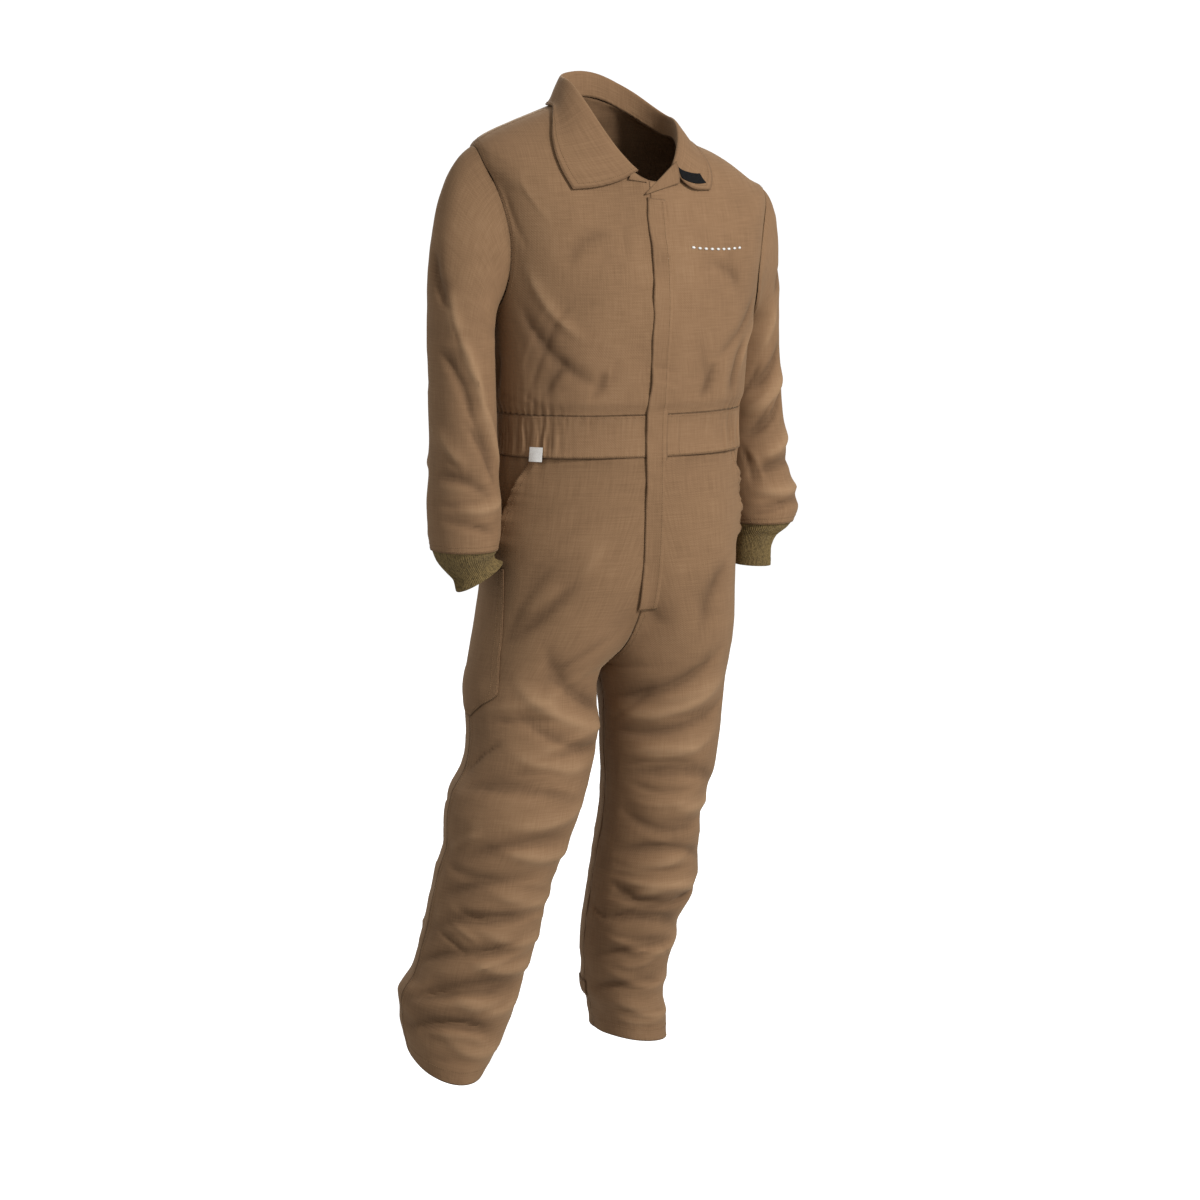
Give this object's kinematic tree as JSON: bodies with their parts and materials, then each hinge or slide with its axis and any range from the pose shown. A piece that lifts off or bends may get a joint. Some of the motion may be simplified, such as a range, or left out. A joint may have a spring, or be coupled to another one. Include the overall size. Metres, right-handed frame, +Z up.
{
  "type": "boiler suit",
  "caption": "One-piece work suit with turned-down collar, covered front closing, gathered waistband, ribbed cuffs and a thigh pocket, filled out as worn and hollow.",
  "frame": {"origin": "middle of the wearer's shoulders, inside the neck of the suit, where the suit hangs", "axes": "+X to the wearer's left, +Y to the wearer's back, +Z up"},
  "size_m": [0.7083, 0.3202, 1.5403],
  "materials": {
    "twill": "matt brushed cotton twill, khaki brown",
    "rib_knit": "ribbed knit, olive khaki",
    "label": "white woven tape",
    "hook_tape": "black hook tape"
  },
  "bodies": {
    "root": {"left_front_bodice": "twill", "right_front_bodice": "twill", "back_bodice": "twill", "waistband_left": "twill", "waistband_right": "twill", "waistband_back": "twill", "left_leg_front": "twill", "left_leg_back": "twill", "left_pocket_facing": "twill", "right_leg_front": "twill", "right_leg_back": "twill", "right_pocket_facing": "twill", "thigh_pocket": "twill", "left_ankle_tab": "twill", "right_ankle_tab": "twill", "front_placket": "twill", "pocket_label": "label", "collar": "twill", "collar_patch": "hook_tape", "left_lapel": "twill", "right_lapel": "twill", "left_sleeve": "twill", "left_cuff": "rib_knit", "right_sleeve": "twill", "right_cuff": "rib_knit"}
  },
  "joints": []
}
